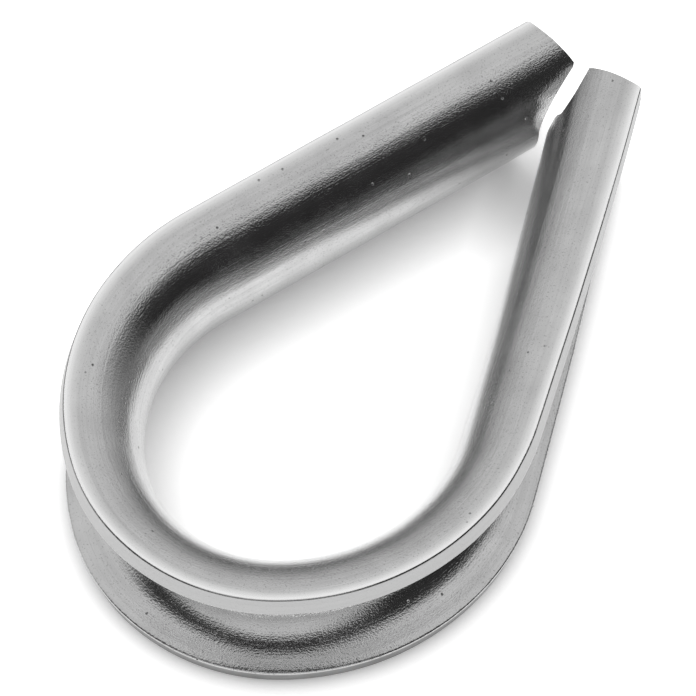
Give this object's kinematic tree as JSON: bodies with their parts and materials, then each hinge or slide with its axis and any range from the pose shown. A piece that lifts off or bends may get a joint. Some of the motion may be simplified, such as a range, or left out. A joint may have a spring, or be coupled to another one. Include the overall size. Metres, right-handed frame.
{
  "type": "wire rope thimble",
  "caption": "Teardrop wire rope thimble: a steel strip formed into an outward-facing channel around an eye, with its ends side by side at a blunt point.",
  "frame": {"origin": "centre of the thimble's outline in plan, on the surface that its lower rims rest on", "axes": "+Z square to the plane of the teardrop, +Y from the round crown to the point, +X across the eye"},
  "size_m": [0.0516, 0.081, 0.0181],
  "materials": {
    "stainless_steel": "tumbled, moderately glossy plain stainless steel with fine grain and small marks"
  },
  "bodies": {
    "root": {"thimble": "stainless_steel"}
  },
  "joints": []
}
